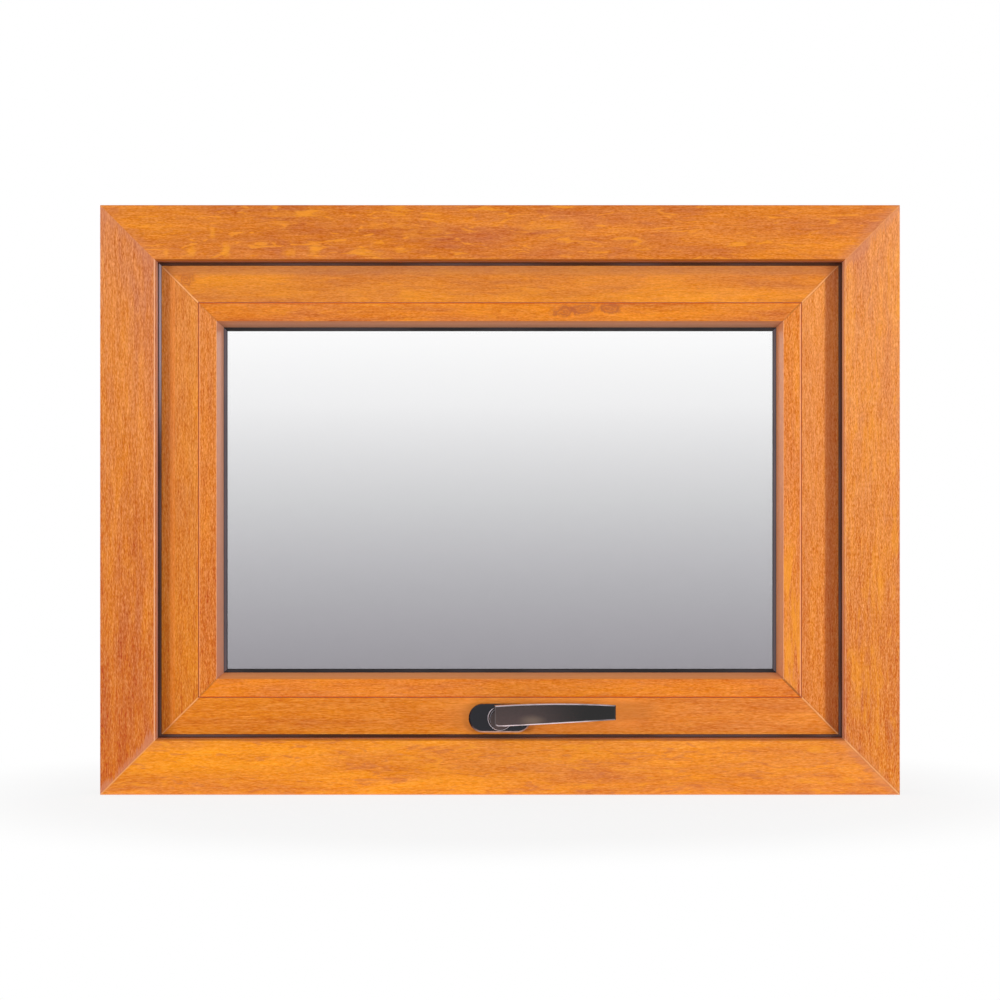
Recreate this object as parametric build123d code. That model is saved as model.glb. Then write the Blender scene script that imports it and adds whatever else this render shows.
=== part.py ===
from build123d import *

import os

# An awning window: a plastic outer frame with one top-hung sash, seen shut.
# X runs along the sill, Y from the room to the outside, Z up. The origin is the centre of the
# frame's bottom face. Lengths are in millimetres.
#
# Every profile is drawn once in section. "Inward" is the distance from the frame's outer edge
# towards the glass, and "depth" is Y.

# Outer frame
frame_width = 800.0
frame_height = 590.0
frame_depth = 60.0
frame_face = 56.0
rebate_floor = 34.0
stop_depth = 18.0
wall = 2.8
web = 1.2
stop_radius = 3.0
edge_radius = 1.0
clip_spacing = 36.0
clip_mouth = 4.0
clip_width = 7.0
clip_depth = 5.0
clip_lip = 1.5
fixing_radius = 4.0
fixing_from_end = 150.0
fixing_depth = -3.0

# Sash
hardware_gap = 14.0
seal_gap = 3.5
sash_width = 48.0
sash_leg = 15.0
sash_overlap = 8.0
upstand = 24.0
upstand_bevel = 5.0
hardware_line = 13.0
hardware_step_width = 20.0
hardware_step_depth = 3.0
hardware_groove_width = 12.0
hardware_groove_depth = 12.0
sash_edge_radius = 0.4

# Seals
seal_stem = 3.0
seal_stem_depth = 4.5
seal_fit = 0.1
frame_seal_from_tip = 4.0
frame_seal_lip = 3.2
sash_seal_from_edge = 4.0
glazing_seal = 3.0
glazing_seal_from_edge = 3.5
glazing_seal_lip = 1.5
bead_seal_width = 12.0
bead_seal_lip = 3.7

# Glass unit
pane_thickness = 4.0
cavity = 12.0
glass_clearance = 5.5
spacer_height = 7.0
spacer_wall = 1.0
edge_seal_height = 4.5
setting_block_length = 100.0
setting_block_at = 190.0
side_block_from_corner = 110.0

# Glazing bead
bead_gap = 0.6
bead_seat_gap = 0.1
bead_face = 18.0
bead_rise = 24.3
bead_wall = 2.0
bead_relief = 3.0
bead_edge_radius = 1.0
bead_groove_mouth = 4.0
bead_groove_width = 6.6
bead_groove_depth = 5.0
bead_groove_lip = 1.5
bead_foot = 2.6
bead_hook = 1.4

# Handle
handle_backset = 28.0
rose_length = 63.0
rose_width = 28.6
rose_height = 11.0
rose_wall = 1.6
rose_bevel = 1.4
handle_base_thickness = 6.0
handle_base_fit = 1.2
screw_spacing = 43.0
screw_radius = 2.5
screw_head_across = 7.6
screw_head_height = 1.6
screw_length = 26.0
hub_radius = 12.3
hub_rim = 2.4
hub_rim_bevel = 0.7
neck_radius_at_rim = 11.0
neck_radius_at_arm = 9.4
bearing_radius = 7.5
running_fit = 0.3
spindle_side = 7.0
spindle_fit = 0.1
spindle_in_lever = 14.0
spindle_past_gearbox = 1.5
lever_reach = 115.0
lever_heel = 5.2
lever_standoff = 33.0
arm_rise = 4.4
arm_width = 20.4
arm_tip_width = 14.6
arm_tip_rise = 0.6
arm_crown = 1.9
arm_belly = 0.4
arm_thickness = 11.5
arm_tip_thickness = 7.5
arm_bevel = 1.8
arm_heel_radius = 4.0

# Lock in the bottom rail
gearbox_length = 76.0
gearbox_thickness = 11.4
gearbox_height = 33.0
gearbox_corner = 8.0
follower_sides = 12
spindle_way = 0.7
rod_way = 0.5
pocket_clearance = 0.8
faceplate_length = 520.0
faceplate_fit = 0.3
rod_width = 9.0
rod_thickness = 2.5
cam_at = 190.0
cam_pin_radius = 3.5
cam_head_radius = 5.5
cam_head_height = 2.5
cam_reach = 8.0
cam_travel = 30.0
keep_length = 60.0
keep_width = 18.0
keep_plate = 2.0
keep_hook = 7.0
keep_clearance = 1.0

# Friction stays beside the stiles
stay_from_head = 10.0
track_length = 300.0
track_width = 18.0
track_height = 8.0
track_base = 2.0
track_lip = 1.6
stay_arm_width = 14.0
stay_arm_thickness = 2.7
stay_arm_corner = 4.0
stay_layer_gap = 0.2
rivet_radius = 4.0
long_arm_below_top = 116.0
long_arm_length = 168.0
short_arm_below_top = 46.0
short_arm_length = 48.0
shoe_length = 34.0
sash_bar_below_top = 14.0
sash_bar_length = 240.0

# Drainage
drain_at = 250.0
drain_height = 14.0
drain_slot_length = 30.0
drain_slot_width = 5.0
drain_cap_length = 46.0
drain_cap_width = 11.0
drain_cap_projection = 5.5
drain_cap_bevel = 1.6
drain_cap_wall = 1.5

# How far a cut runs past the face that it starts from
cut_margin = 1.0

# Planes and edges that the pieces share
room_face = -frame_depth / 2
outer_face = frame_depth / 2
stop_back = room_face + stop_depth
sash_room_face = stop_back + seal_gap
sash_edge = rebate_floor + hardware_gap
sash_floor = sash_edge + sash_width
leg_room_side = outer_face + seal_gap
leg_outer = leg_room_side + sash_leg
leg_edge = rebate_floor - sash_overlap
upstand_edge = sash_floor + upstand
glass_outer_face = leg_room_side - glazing_seal
glass_room_face = glass_outer_face - 2 * pane_thickness - cavity
bead_back = glass_room_face - glazing_seal
bead_sight = sash_floor + bead_rise
glass_edge = sash_floor + glass_clearance
handle_height = sash_edge + handle_backset
groove_floor = sash_edge + hardware_groove_depth
step_floor = sash_edge + hardware_step_depth
rose_front = sash_room_face - rose_height
upwards = (Align.CENTER, Align.CENTER, Align.MIN)


def block(inward_low, depth_low, inward_high, depth_high):
    """Rectangle of a section between two corners."""
    centre = Pos((inward_low + inward_high) / 2, (depth_low + depth_high) / 2)
    return centre * Rectangle(inward_high - inward_low, depth_high - depth_low)


def polygon(*points):
    """Closed straight-sided outline."""
    return make_face(Polyline(*points, close=True))


def rounded(section, inward, depth, radius):
    """The section with the corner nearest to a place rounded."""
    corner = section.vertices().sort_by_distance((inward, depth))[0]
    return fillet(corner, radius)


def mitred_bar(section, run):
    """Straight bar of a section, as long as the frame's side, with both ends cut at 45 degrees."""
    bar = extrude(section, amount=run / 2, both=True)
    spare = cut_margin
    wedge_outline = Polyline(
        (-spare, 0, -run / 2 - spare), (-spare, 0, run / 2 + spare), (run / 2, 0, 0), close=True
    )
    wedge = extrude(make_face(wedge_outline), amount=frame_depth + leg_outer, dir=(0, 1, 0), both=True)
    return bar & wedge


def sides():
    """The frame's four sides: name, the plane of the section and the length of the run."""
    half_width = frame_width / 2
    middle = frame_height / 2
    return {
        "sill": (Plane((0, 0, 0), x_dir=(0, 0, 1), z_dir=(-1, 0, 0)), frame_width),
        "head": (Plane((0, 0, frame_height), x_dir=(0, 0, -1), z_dir=(1, 0, 0)), frame_width),
        "left": (Plane((-half_width, 0, middle), x_dir=(1, 0, 0), z_dir=(0, 0, 1)), frame_height),
        "right": (Plane((half_width, 0, middle), x_dir=(-1, 0, 0), z_dir=(0, 0, -1)), frame_height),
    }


def four_bars(section):
    """A mitred bar of the section on each side of the window."""
    return {side: plane * mitred_bar(section, run) for side, (plane, run) in sides().items()}


def ring(section):
    """The four mitred bars of a section welded into one loop."""
    bars = list(four_bars(section).values())
    return bars[0] + bars[1:]


def frame_section():
    """Hollow extrusion of the outer frame: main box, stop leg, clip grooves and seal groove."""
    section = block(0, room_face, rebate_floor, outer_face)
    section += block(0, room_face, frame_face, stop_back)
    section = rounded(section, frame_face, room_face, stop_radius)
    section = rounded(section, 0, room_face, edge_radius)
    section = rounded(section, 0, outer_face, edge_radius)
    section = rounded(section, rebate_floor, outer_face, edge_radius)
    section = rounded(section, frame_face, stop_back, edge_radius)
    for side in (-1, 1):
        line = side * clip_spacing / 2
        section -= block(0, line - clip_mouth / 2, clip_depth, line + clip_mouth / 2)
        section -= block(clip_lip, line - clip_width / 2, clip_depth, line + clip_width / 2)
    inner_row = clip_spacing / 2 - clip_width / 2 - wall
    box_low = clip_depth + wall
    box_high = rebate_floor - wall
    section -= block(wall, -inner_row, box_high, inner_row)
    section -= block(box_low, inner_row + web, box_high, outer_face - wall)
    section -= block(box_low, room_face + wall, box_high, -inner_row - web)
    groove = frame_face - frame_seal_from_tip
    leg_middle = groove - seal_stem / 2 - wall
    section -= block(box_high + web, room_face + wall, leg_middle, stop_back - wall)
    section -= block(
        leg_middle + web, room_face + wall, frame_face - wall, stop_back - seal_stem_depth - web
    )
    half_stem = seal_stem / 2
    return section - block(groove - half_stem, stop_back - seal_stem_depth, groove + half_stem, stop_back)


def sash_section():
    """Hollow extrusion of the sash: main box, outer leg, hardware groove and glazing rebate."""
    section = block(sash_edge, sash_room_face, sash_floor, leg_room_side)
    section += block(leg_edge, leg_room_side, upstand_edge, leg_outer)
    corner = section.vertices().sort_by_distance((upstand_edge, leg_outer))[0]
    section = chamfer(corner, upstand_bevel)
    section = rounded(section, leg_edge, leg_outer, stop_radius)
    section = rounded(section, leg_edge, leg_room_side, edge_radius)
    section = rounded(section, upstand_edge, leg_room_side, edge_radius)
    section = rounded(section, sash_edge, sash_room_face, sash_edge_radius)
    section = rounded(section, sash_floor, sash_room_face, sash_edge_radius)

    step = hardware_step_width / 2
    groove = hardware_groove_width / 2
    section -= block(sash_edge, hardware_line - step, step_floor, hardware_line + step)
    section -= block(sash_edge, hardware_line - groove, groove_floor, hardware_line + groove)

    mouth = bead_groove_mouth / 2
    inside = bead_groove_width / 2
    section -= block(sash_floor - bead_groove_depth, -mouth, sash_floor, mouth)
    section -= block(sash_floor - bead_groove_depth, -inside, sash_floor - bead_groove_lip, inside)
    for line in (leg_edge + sash_seal_from_edge, upstand_edge - glazing_seal_from_edge):
        section -= block(
            line - seal_stem / 2, leg_room_side, line + seal_stem / 2, leg_room_side + seal_stem_depth
        )

    room_row = hardware_line - step - wall
    box_high = sash_floor - bead_groove_depth - wall
    section -= block(sash_edge + wall, sash_room_face + wall, box_high, room_row)
    section -= block(groove_floor + wall, room_row + web, box_high, hardware_line + step)
    outer_row = hardware_line + step + wall
    section -= block(sash_edge + wall, outer_row, sash_floor - wall, leg_room_side - web)
    leg_low = leg_room_side + wall
    leg_high = leg_outer - wall
    leg_start = leg_edge + sash_seal_from_edge + seal_stem / 2 + wall
    leg_end = upstand_edge - glazing_seal_from_edge - seal_stem / 2 - wall
    leg_middle = (leg_start + leg_end) / 2
    section -= block(leg_start, leg_low, leg_middle - web / 2, leg_high)
    section -= block(leg_middle + web / 2, leg_low, leg_end, leg_high)
    return section


def bead_section():
    """Hollow snap-in bead with a bevelled edge to the glass and a hooked foot."""
    base = sash_floor + bead_seat_gap
    room_edge = sash_floor + bead_gap
    relief = sash_room_face + bead_relief
    bevel_start = room_edge + bead_face
    section = polygon(
        (room_edge, sash_room_face),
        (bevel_start, sash_room_face),
        (bead_sight, bead_back),
        (base, bead_back),
        (base, relief + bead_gap),
        (room_edge, relief),
    )
    section = rounded(section, bevel_start, sash_room_face, bead_edge_radius)
    section = rounded(section, room_edge, sash_room_face, sash_edge_radius)
    section -= polygon(
        (room_edge + bead_wall, sash_room_face + bead_wall),
        (bevel_start - bead_wall, sash_room_face + bead_wall),
        (bead_sight - 2 * bead_wall, bead_back - bead_wall),
        (room_edge + bead_wall, bead_back - bead_wall),
    )
    foot_low = sash_floor - bead_groove_depth + bead_hook
    hook_top = sash_floor - bead_groove_lip - bead_seat_gap
    half_foot = bead_foot / 2
    section += block(foot_low, -half_foot, base, half_foot)
    section += block(foot_low, -half_foot, hook_top, half_foot + bead_hook)
    return section


def frame_seal_section():
    """Flipper seal on the stop leg that shows as a dark line round the sash."""
    groove = frame_face - frame_seal_from_tip
    stem = seal_stem / 2 - seal_fit
    lip = frame_face + frame_seal_lip
    head = block(groove - seal_stem, stop_back, lip, sash_room_face)
    head = rounded(head, lip, stop_back, edge_radius)
    stem_end = stop_back - seal_stem_depth + seal_fit
    return head + block(groove - stem, stem_end, groove + stem, stop_back)


def leg_seal_stem(groove):
    """Stem of a seal in one of the grooves on the room side of the sash's outer leg."""
    half = seal_stem / 2 - seal_fit
    return block(groove - half, leg_room_side, groove + half, leg_room_side + seal_stem_depth - seal_fit)


def sash_seal_section():
    """Seal between the sash's outer leg and the frame's outer face."""
    groove = leg_edge + sash_seal_from_edge
    head = block(groove - seal_stem, outer_face, rebate_floor - edge_radius, leg_room_side)
    return head + leg_seal_stem(groove)


def outer_glazing_seal_section():
    """Seal between the outer pane and the sash's upstand."""
    groove = upstand_edge - glazing_seal_from_edge
    lip = upstand_edge + glazing_seal_lip
    head = block(groove - 2 * seal_stem, glass_outer_face, lip, leg_room_side)
    head = rounded(head, lip, leg_room_side, edge_radius)
    return head + leg_seal_stem(groove)


def inner_glazing_seal_section():
    """Seal between the bead and the inner pane, with a rounded lip that shows."""
    lip = bead_sight + bead_seal_lip
    head = block(bead_sight - bead_seal_width, bead_back, lip, glass_room_face)
    return rounded(head, lip, bead_back, edge_radius)


def spacer_section():
    """Hollow bar that holds the two panes apart."""
    low = glass_edge + edge_seal_height
    room_side = glass_room_face + pane_thickness
    outer_side = room_side + cavity
    section = block(low, room_side, low + spacer_height, outer_side)
    inner_low = low + spacer_wall
    inner_high = low + spacer_height - spacer_wall
    return section - block(inner_low, room_side + spacer_wall, inner_high, outer_side - spacer_wall)


def edge_seal_section():
    """Sealant behind the spacer, up to the edge of the glass."""
    room_side = glass_room_face + pane_thickness
    return block(glass_edge, room_side, glass_edge + edge_seal_height, room_side + cavity)


def pane(room_side):
    """One sheet of glass with its room side at a depth."""
    width = frame_width - 2 * glass_edge
    height = frame_height - 2 * glass_edge
    return Pos(0, room_side + pane_thickness / 2, frame_height / 2) * Box(width, pane_thickness, height)


def setting_blocks():
    """Packers between the glass unit's edge and the sash: two below, two above, one each side."""
    depth = glass_outer_face - glass_room_face
    middle = (glass_outer_face + glass_room_face) / 2
    low = sash_floor + glass_clearance / 2
    flat = Box(setting_block_length, depth, glass_clearance)
    upright = Box(glass_clearance, depth, setting_block_length)
    side = frame_width / 2 - low
    blocks = []
    for x in (-setting_block_at, setting_block_at):
        for z in (low, frame_height - low):
            blocks.append(Pos(x, middle, z) * flat)
    for x in (-side, side):
        blocks.append(Pos(x, middle, sash_floor + side_block_from_corner) * upright)
    return Compound(blocks)


def along_depth(x, z, depth):
    """Place whose local Z runs outwards, through the window, from a depth."""
    return Plane((x, depth, z), x_dir=(1, 0, 0), z_dir=(0, 1, 0)).location


def round_hole(x, z, depth_low, depth_high, radius):
    """Cylinder through the window's depth, also used as a cutter."""
    return along_depth(x, z, depth_low) * Cylinder(radius, depth_high - depth_low, align=upwards)


def fixing_holes(jamb, sign):
    """The jamb with the two holes for the bolts that hold the window to the wall."""
    for z in (fixing_from_end, frame_height - fixing_from_end):
        place = Pos(sign * (frame_width / 2 - rebate_floor / 2), fixing_depth, z)
        jamb -= place * Rot(0, 90, 0) * Cylinder(fixing_radius, 2 * rebate_floor)
    return jamb


def drained_sill(sill):
    """The sill with its two drain slots through the outer wall."""
    slot = SlotOverall(drain_slot_length, drain_slot_width)
    for x in (-drain_at, drain_at):
        sill -= extrude(along_depth(x, drain_height, outer_face - 2 * wall) * slot, amount=3 * wall)
    return sill


def drain_caps():
    """Bevelled hoods over the drain slots, open below."""
    caps = []
    for x in (-drain_at, drain_at):
        middle = outer_face + drain_cap_projection / 2
        hood = Pos(x, middle, drain_height) * Box(drain_cap_length, drain_cap_projection, drain_cap_width)
        front = hood.faces().sort_by(Axis.Y)[-1]
        hood = chamfer(front.edges(), drain_cap_bevel)
        depth = drain_cap_projection - drain_cap_wall
        inside = Box(drain_cap_length - 2 * drain_cap_wall, depth, drain_cap_width)
        hood -= Pos(x, outer_face + depth / 2, drain_height - drain_cap_wall) * inside
        caps.append(hood)
    return Compound(caps)


def handle_rail(rail):
    """The bottom rail with the lock's pocket and the holes for spindle and screws."""
    thickness = gearbox_thickness + 2 * pocket_clearance
    low = sash_edge
    high = step_floor + gearbox_height + pocket_clearance
    pocket = Box(gearbox_length + 2 * pocket_clearance, thickness, high - low)
    rail -= Pos(0, hardware_line, (low + high) / 2) * pocket
    start = sash_room_face - cut_margin
    rail -= round_hole(0, handle_height, start, hardware_line, bearing_radius + running_fit)
    for x in (-screw_spacing / 2, screw_spacing / 2):
        rail -= round_hole(x, handle_height, start, hardware_line, screw_radius + running_fit)
    return rail


def handle_base():
    """Plate under the rose that the screws clamp to the rail, with the lever's bearing."""
    fit = 2 * (rose_wall + handle_base_fit)
    width = rose_width - fit
    outline = Rectangle(rose_length - fit, width)
    outline = chamfer(outline.vertices(), width * (1 - 2**-0.5))
    front = sash_room_face - handle_base_thickness
    plate = extrude(along_depth(0, handle_height, front) * outline, amount=handle_base_thickness)
    plate -= round_hole(0, handle_height, front, sash_room_face, bearing_radius + running_fit)
    for x in (-screw_spacing / 2, screw_spacing / 2):
        plate -= round_hole(x, handle_height, front, sash_room_face, screw_radius + running_fit)
    return plate


def handle_rose():
    """Stadium-shaped cover cap with a bevelled edge and a round hole for the lever."""
    place = along_depth(0, handle_height, rose_front)
    cap = extrude(place * SlotOverall(rose_length, rose_width), amount=rose_height)
    front = cap.faces().sort_by(Axis.Y)[0]
    cap = chamfer(front.edges(), rose_bevel)
    inside = SlotOverall(rose_length - 2 * rose_wall, rose_width - 2 * rose_wall)
    hollow = along_depth(0, handle_height, rose_front + 2 * rose_wall) * inside
    cap -= extrude(hollow, amount=rose_height)
    start = rose_front - cut_margin
    return cap - round_hole(0, handle_height, start, sash_room_face, bearing_radius + running_fit)


def arm_front_outline():
    """Front view of the lever's arm: square heel, arched top edge, tapering bottom edge."""
    heel_top = arm_rise + arm_width / 2
    heel_bottom = arm_rise - arm_width / 2
    tip_top = heel_top + arm_tip_rise
    tip_bottom = tip_top - arm_tip_width
    middle = lever_reach / 2
    top = ThreePointArc(
        (-lever_heel, heel_top), (middle, (heel_top + tip_top) / 2 + arm_crown), (lever_reach, tip_top)
    )
    tip = Line((lever_reach, tip_top), (lever_reach, tip_bottom))
    bottom_start = (lever_heel, heel_bottom)
    bottom = ThreePointArc(
        (lever_reach, tip_bottom), (middle, (heel_bottom + tip_bottom) / 2 - arm_belly), bottom_start
    )
    foot = Line(bottom_start, (-lever_heel, heel_bottom))
    heel = Line((-lever_heel, heel_bottom), (-lever_heel, heel_top))
    face = make_face([top, tip, bottom, foot, heel])
    corner = face.vertices().sort_by_distance((-lever_heel, heel_bottom))[0]
    return fillet(corner, arm_heel_radius)


def handle_lever():
    """Round hub and neck with a flat bevelled arm, and a square socket for the spindle."""
    arm_back = sash_room_face - lever_standoff
    arm_front = arm_back - arm_thickness
    facing = Plane((0, arm_back, handle_height), x_dir=(1, 0, 0), z_dir=(0, -1, 0))
    arm = extrude(facing * arm_front_outline(), amount=arm_thickness)
    front = arm.faces().sort_by(Axis.Y)[0]
    arm = chamfer(front.edges(), arm_bevel)
    undercut = Polyline(
        (hub_radius, arm_back + cut_margin, 0),
        (lever_reach + cut_margin, arm_back + cut_margin, 0),
        (lever_reach + cut_margin, arm_front + arm_tip_thickness, 0),
        (hub_radius, arm_back, 0),
        close=True,
    )
    arm -= extrude(make_face(undercut), amount=handle_height + lever_reach, dir=(0, 0, 1))

    rim_back = rose_front - running_fit
    rim_front = rim_back - hub_rim
    profile = Polyline(
        (0, sash_room_face - running_fit),
        (bearing_radius, sash_room_face - running_fit),
        (bearing_radius, rim_back),
        (hub_radius, rim_back),
        (hub_radius, rim_front + hub_rim_bevel),
        (hub_radius - hub_rim_bevel, rim_front),
        (neck_radius_at_rim, rim_front),
        (neck_radius_at_arm, arm_back),
        (neck_radius_at_arm, arm_back - arm_thickness / 2),
        (0, arm_back - arm_thickness / 2),
        close=True,
    )
    hub = Pos(0, 0, handle_height) * revolve(make_face(profile), Axis.Y)
    socket_side = spindle_side + spindle_fit
    socket = Box(socket_side, socket_side, frame_depth, align=upwards)
    return arm + hub - along_depth(0, handle_height, rim_front - spindle_in_lever) * socket


def handle_spindle():
    """Square bar from the lever through the lock."""
    start = rose_front - running_fit - hub_rim - spindle_in_lever
    end = hardware_line + gearbox_thickness / 2 + spindle_past_gearbox
    bar = Box(spindle_side, spindle_side, end - start, align=upwards)
    return along_depth(0, handle_height, start) * bar


def handle_screws():
    """Two screws that clamp the handle's base to the lock through the rail."""
    head = sash_room_face - handle_base_thickness
    screws = []
    for x in (-screw_spacing / 2, screw_spacing / 2):
        shank = round_hole(x, handle_height, head, head + screw_length, screw_radius)
        hexagon = RegularPolygon(screw_head_across / 2, 6, major_radius=False)
        place = along_depth(x, handle_height, head - screw_head_height)
        screws.append(shank + extrude(place * hexagon, amount=screw_head_height))
    return Compound(screws)


def lock_gearbox():
    """Flat case of the lock behind the handle."""
    height = gearbox_height
    case = Pos(0, hardware_line, step_floor + height / 2) * Box(gearbox_length, gearbox_thickness, height)
    upper = case.faces().sort_by(Axis.Z)[-1].edges().filter_by(Axis.Y)
    case = chamfer(upper, gearbox_corner)
    follower = RegularPolygon(spindle_side * 2**0.5 / 2 + spindle_way, follower_sides, major_radius=False)
    case -= extrude(along_depth(0, handle_height, 0) * follower, amount=2 * hardware_line)
    for x in (-screw_spacing / 2, screw_spacing / 2):
        case -= round_hole(x, handle_height, 0, 2 * hardware_line, screw_radius + running_fit / 2)
    length = gearbox_length + 2 * cut_margin
    tunnel = Box(length, rod_width + 2 * rod_way, rod_thickness + 2 * rod_way, align=upwards)
    return case - Pos(0, hardware_line, step_floor - rod_way) * tunnel


def lock_faceplate():
    """Strip in the step of the hardware groove, slotted where the cams slide."""
    low = sash_edge + faceplate_fit
    high = step_floor - faceplate_fit
    outline = Rectangle(faceplate_length, hardware_step_width - 2 * faceplate_fit)
    place = Plane((0, hardware_line, low), x_dir=(1, 0, 0), z_dir=(0, 0, 1))
    strip = extrude(place * outline, amount=high - low)
    slot_width = 2 * (cam_pin_radius + rod_way)
    slot = Rectangle(cam_travel + slot_width, slot_width)
    for x in (-cam_at, cam_at):
        strip -= extrude(place * Pos(x, 0) * slot, amount=high - low)
    return strip


def lock_rod():
    """Sliding rod behind the faceplate with two mushroom cams."""
    low = step_floor + faceplate_fit
    rod_length = faceplate_length - 2 * cam_travel
    rod = Pos(0, hardware_line, low + rod_thickness / 2) * Box(rod_length, rod_width, rod_thickness)
    head_low = sash_edge - cam_reach
    pin_length = low + rod_thickness / 2 - head_low
    for x in (-cam_at, cam_at):
        place = Pos(x, hardware_line, head_low)
        rod += place * Cylinder(cam_head_radius, cam_head_height, align=upwards)
        rod += place * Cylinder(cam_pin_radius, pin_length, align=upwards)
    return rod


def sill_keeps():
    """Hooked keeps on the sill's rebate that the cams lock behind."""
    keeps = []
    hook_thickness = keep_width / 2 - cam_head_radius - keep_clearance
    hook_line = hardware_line + keep_width / 2 - hook_thickness / 2
    for x in (-cam_at, cam_at):
        plate = Box(keep_length, keep_width, keep_plate, align=upwards)
        hook = Box(keep_length, hook_thickness, keep_plate + keep_hook, align=upwards)
        keeps.append(Pos(x, hardware_line, rebate_floor) * plate + Pos(x, hook_line, rebate_floor) * hook)
    return Compound(keeps)


def stay_plane(inward):
    """Plane beside the left jamb: local X is depth, local Y is height, local Z points inward."""
    return Plane((inward - frame_width / 2, 0, 0), x_dir=(0, 1, 0), z_dir=(1, 0, 0))


def bevelled_strip(width, length):
    """Outline of a flat strip with its corners cut off."""
    strip = Rectangle(width, length)
    return chamfer(strip.vertices(), stay_arm_corner)


def stay_link(pivots, inward):
    """Flat arm between its lower and upper pivots on the hardware line."""
    low, high = pivots
    outline = bevelled_strip(stay_arm_width, high - low + stay_arm_width)
    place = stay_plane(inward) * Pos(hardware_line, (low + high) / 2)
    return extrude(place * outline, amount=stay_arm_thickness)


def stay_rivet(height, inward_low, inward_high):
    """Rivet on the hardware line between two layers of a stay."""
    disc = stay_plane(inward_low) * Pos(hardware_line, height) * Circle(rivet_radius)
    return extrude(disc, amount=inward_high - inward_low)


def left_stay():
    """Friction stay on the left jamb: track, sash bar, long arm and short arm with its shoe."""
    top = frame_height - rebate_floor - stay_from_head
    channel_floor = rebate_floor + track_base
    channel_top = rebate_floor + track_height
    track_middle = top - track_length / 2
    place = Pos(hardware_line, track_middle)
    channel = Rectangle(track_width, track_length)
    track = extrude(stay_plane(rebate_floor) * place * channel, amount=track_height)
    trough = Rectangle(track_width - 2 * track_lip, track_length + 2 * cut_margin)
    track -= extrude(stay_plane(channel_floor) * place * trough, amount=track_height)

    long_arm_pivots = (top - long_arm_below_top - long_arm_length, top - long_arm_below_top)
    short_arm_pivots = (top - short_arm_below_top - short_arm_length, top - short_arm_below_top)
    long_layer = channel_top + stay_layer_gap
    short_layer = long_layer + stay_arm_thickness + stay_layer_gap
    bar_layer = short_layer + stay_arm_thickness + stay_layer_gap
    long_arm = stay_link(long_arm_pivots, long_layer)
    long_arm += stay_rivet(long_arm_pivots[0], channel_floor, long_layer)
    long_arm += stay_rivet(long_arm_pivots[1], long_layer, bar_layer)
    short_arm = stay_link(short_arm_pivots, short_layer)
    short_arm += stay_rivet(short_arm_pivots[0], short_layer, bar_layer)
    shoe_place = stay_plane(channel_floor) * Pos(hardware_line, short_arm_pivots[1])
    shoe = Rectangle(track_width - 2 * track_lip - 2 * stay_layer_gap, shoe_length)
    short_arm += extrude(shoe_place * shoe, amount=short_layer - channel_floor)

    bar_middle = top - sash_bar_below_top - sash_bar_length / 2
    bar_outline = bevelled_strip(track_width, sash_bar_length)
    bar_place = stay_plane(bar_layer) * Pos(hardware_line, bar_middle)
    sash_bar = extrude(bar_place * bar_outline, amount=step_floor - bar_layer)
    return {"track": track, "sash_bar": sash_bar, "long_arm": long_arm, "short_arm": short_arm}


def build():
    """Every piece of the window by its node name."""
    pieces = {}
    frame_bars = four_bars(frame_section())
    pieces["frame_head"] = frame_bars["head"]
    pieces["frame_sill"] = drained_sill(frame_bars["sill"])
    pieces["frame_left_jamb"] = fixing_holes(frame_bars["left"], -1)
    pieces["frame_right_jamb"] = fixing_holes(frame_bars["right"], 1)
    pieces["frame_gasket"] = ring(frame_seal_section())
    pieces["drain_caps"] = drain_caps()

    sash_bars = four_bars(sash_section())
    pieces["sash_top_rail"] = sash_bars["head"]
    pieces["sash_bottom_rail"] = handle_rail(sash_bars["sill"])
    pieces["sash_left_stile"] = sash_bars["left"]
    pieces["sash_right_stile"] = sash_bars["right"]
    pieces["sash_gasket"] = ring(sash_seal_section())

    beads = four_bars(bead_section())
    pieces["bead_top"] = beads["head"]
    pieces["bead_bottom"] = beads["sill"]
    pieces["bead_left"] = beads["left"]
    pieces["bead_right"] = beads["right"]
    pieces["inner_glazing_gasket"] = ring(inner_glazing_seal_section())
    pieces["outer_glazing_gasket"] = ring(outer_glazing_seal_section())
    pieces["inner_pane"] = pane(glass_room_face)
    pieces["outer_pane"] = pane(glass_outer_face - pane_thickness)
    pieces["spacer_bar"] = ring(spacer_section())
    pieces["edge_seal"] = ring(edge_seal_section())
    pieces["setting_blocks"] = setting_blocks()

    pieces["handle_base"] = handle_base()
    pieces["handle_rose"] = handle_rose()
    pieces["handle_lever"] = handle_lever()
    pieces["handle_spindle"] = handle_spindle()
    pieces["handle_screws"] = handle_screws()

    pieces["lock_gearbox"] = lock_gearbox()
    pieces["lock_faceplate"] = lock_faceplate()
    pieces["lock_rod"] = lock_rod()
    pieces["sill_keeps"] = sill_keeps()

    for name, piece in left_stay().items():
        pieces[f"left_stay_{name}"] = piece
        pieces[f"right_stay_{name}"] = mirror(piece, about=Plane.YZ)
    return pieces


os.makedirs("parts", exist_ok=True)
for node, piece in build().items():
    export_step(piece, f"parts/{node}.step")
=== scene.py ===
import math
from collections import namedtuple
from types import SimpleNamespace

import bpy
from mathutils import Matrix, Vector

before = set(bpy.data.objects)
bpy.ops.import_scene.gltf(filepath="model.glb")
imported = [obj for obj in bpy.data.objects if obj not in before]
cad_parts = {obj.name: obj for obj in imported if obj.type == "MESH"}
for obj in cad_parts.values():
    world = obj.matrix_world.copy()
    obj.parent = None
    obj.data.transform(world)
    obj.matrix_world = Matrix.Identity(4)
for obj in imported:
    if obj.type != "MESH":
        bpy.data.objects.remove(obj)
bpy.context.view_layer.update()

# The window's width and height, and the plane of its room side, in metres
WIDTH = 0.8
HEIGHT = 0.59
ROOM_FACE = -0.03

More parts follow.
